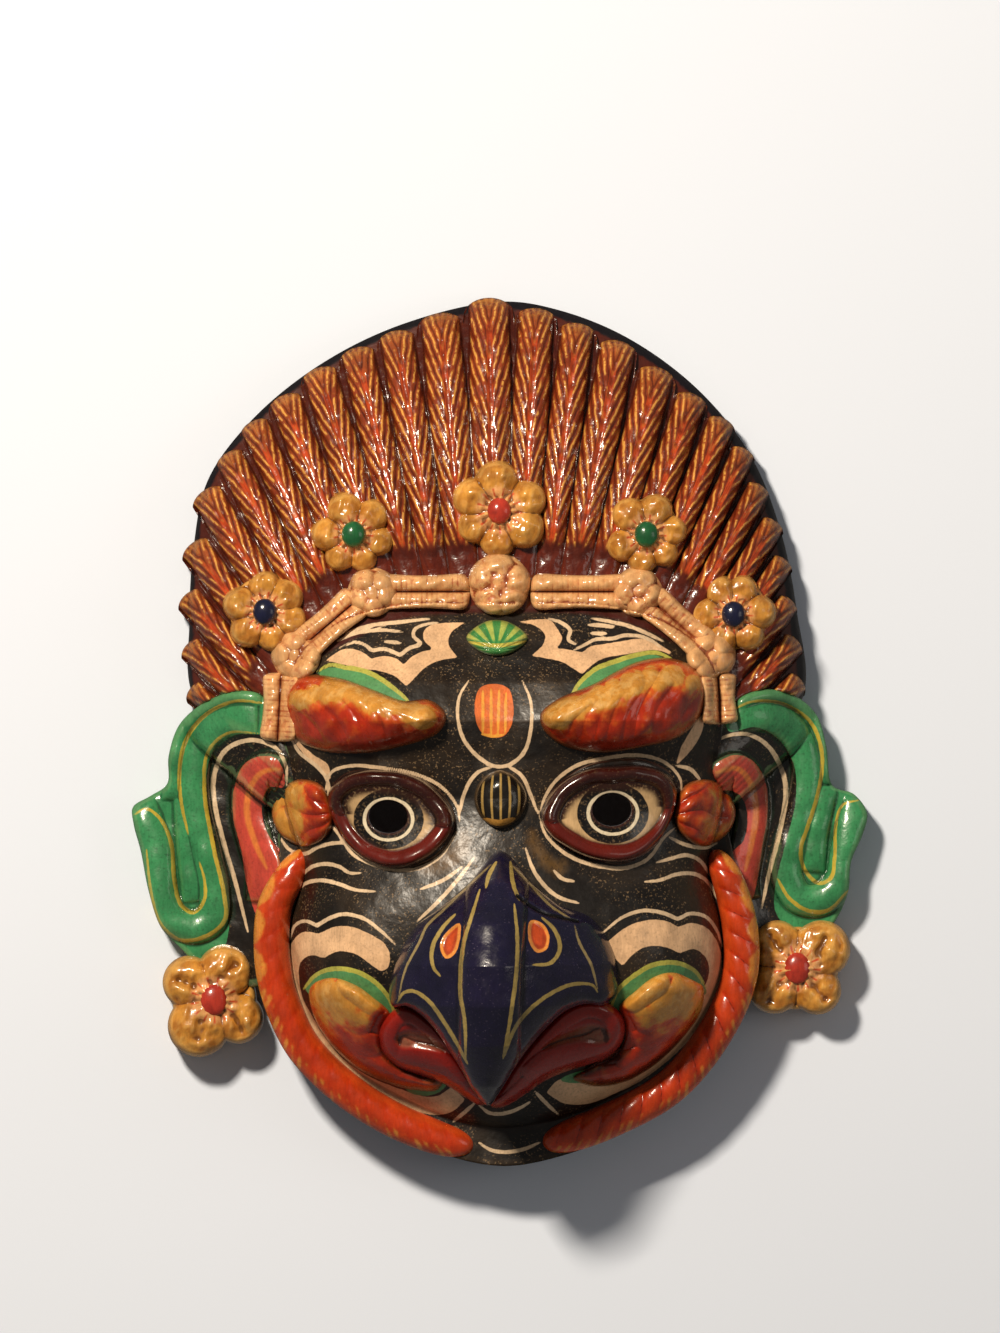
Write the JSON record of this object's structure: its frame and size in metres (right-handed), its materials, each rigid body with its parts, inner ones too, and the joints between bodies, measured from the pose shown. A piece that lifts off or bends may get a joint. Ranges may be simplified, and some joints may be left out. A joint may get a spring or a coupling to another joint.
{
  "type": "ceremonial dance mask",
  "caption": "Moulded and painted bird-deity dance mask with a hooked beak, a crown of bones and flowers, a fan of hair locks and scrolled ears; hollow behind, it lies on its back.",
  "frame": {"origin": "centre of the mask's outline, on the plane of its back rim", "axes": "+X across the face to the wearer's left ear as seen from the front, +Y to the top of the hair fan, +Z out of the face; the mask lies on its back"},
  "size_m": [0.2894, 0.34, 0.1246],
  "materials": {
    "painted_paste": "hand-painted pulp and paste relief under glossy varnish"
  },
  "bodies": {
    "root": {"mask": "painted_paste"}
  },
  "joints": []
}
